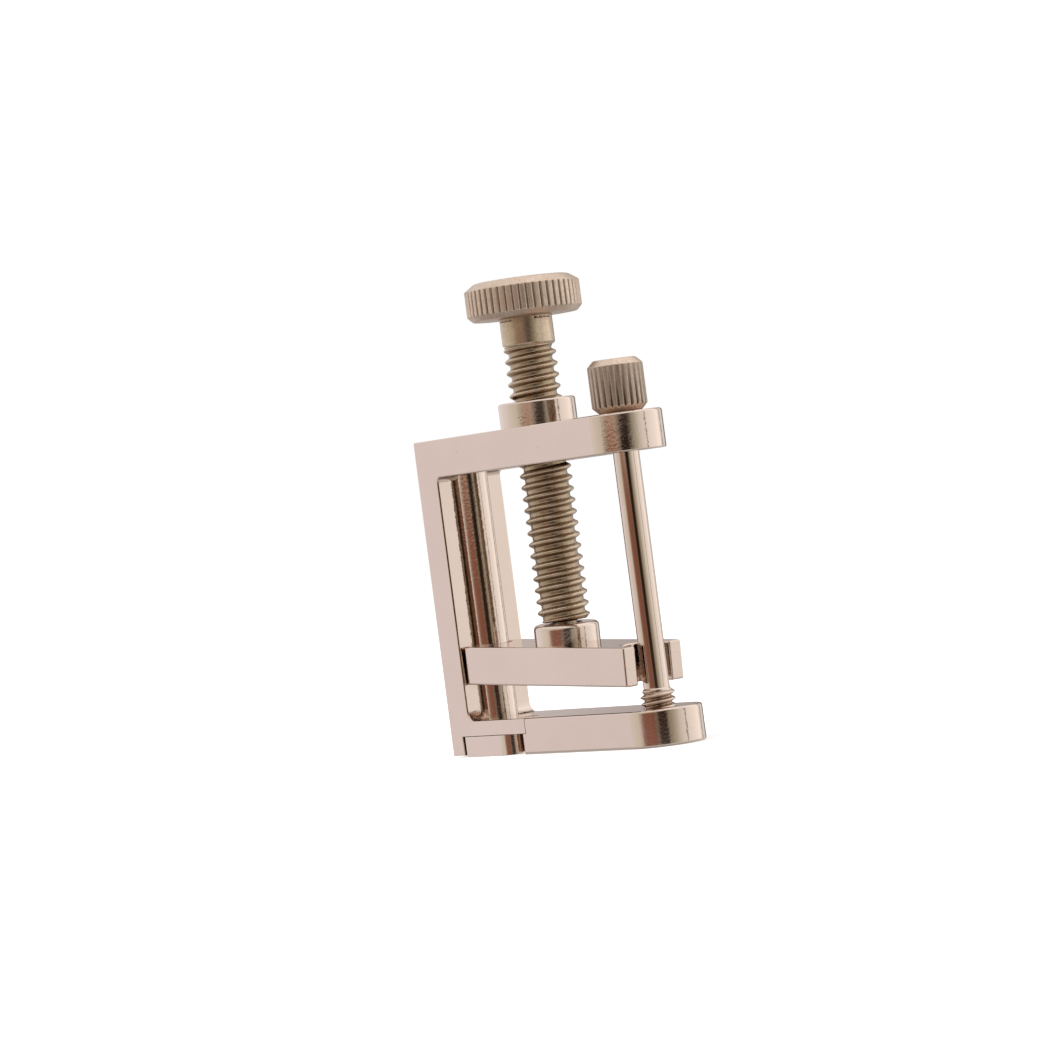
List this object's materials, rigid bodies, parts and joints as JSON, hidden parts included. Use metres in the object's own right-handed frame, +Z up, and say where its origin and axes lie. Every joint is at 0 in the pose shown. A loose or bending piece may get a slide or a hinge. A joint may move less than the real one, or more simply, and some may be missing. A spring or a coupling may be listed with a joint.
{
  "type": "tubing pinch clamp",
  "caption": "Swing-jaw screw clamp for soft tubing: C-shaped plated frame, knurled thumb screw with forked pressure plate, side guide rod with knurled knob, and a jaw that swings open.",
  "frame": {"origin": "where the clamp screw's axis meets the flat underside of the jaw", "axes": "+Z up along the clamp screw, +X from the screw towards the guide rod, -Y out of the front face"},
  "size_m": [0.0416, 0.0138, 0.0568],
  "materials": {
    "plated_casting": "polished warm nickel plate on a cast bar, faint ripple and small pits",
    "stud_steel": "dull plated steel",
    "screw_steel": "nickel plated steel with a cut thread, darker in the roots",
    "knurled_steel": "nickel plated steel with a straight knurl",
    "rod_steel": "smooth plated steel rod"
  },
  "bodies": {
    "frame": {"frame": "plated_casting", "latch_stud": "stud_steel"},
    "jaw": {"swing_jaw": "plated_casting"},
    "plate": {"pressure_plate": "plated_casting"},
    "screw": {"thumb_screw": "screw_steel", "screw_head": "knurled_steel"},
    "rod": {"guide_rod": "rod_steel"},
    "knob": {"rod_knob": "knurled_steel"}
  },
  "joints": [
    {"name": "plate_travel", "type": "slide", "parent": "frame", "child": "plate", "axis": [0, 0, 1], "range_m": [-0.0026, 0.0188]},
    {"name": "screw_turn", "type": "hinge", "parent": "plate", "child": "screw", "pos_m": [0, 0, 0.01205], "axis": [0, 0, 1], "range_deg": [-680, 4905]},
    {"name": "rod_lift", "type": "slide", "parent": "frame", "child": "rod", "axis": [0, 0, 1], "range_m": [0, 0.00238]},
    {"name": "knob_turn", "type": "hinge", "parent": "rod", "child": "knob", "pos_m": [0.0162, 0, 0.042], "axis": [0, 0, 1], "range_deg": [0, 1080]},
    {"name": "jaw_swing", "type": "hinge", "parent": "frame", "child": "jaw", "pos_m": [0.0162, 0, 0.0022], "axis": [0, 0, -1], "range_deg": [0, 180]}
  ],
  "couplings": [
    {"joint": "screw_turn", "follows": "plate_travel", "rad_per_m": 4553},
    {"joint": "knob_turn", "follows": "rod_lift", "rad_per_m": 7915.8}
  ]
}
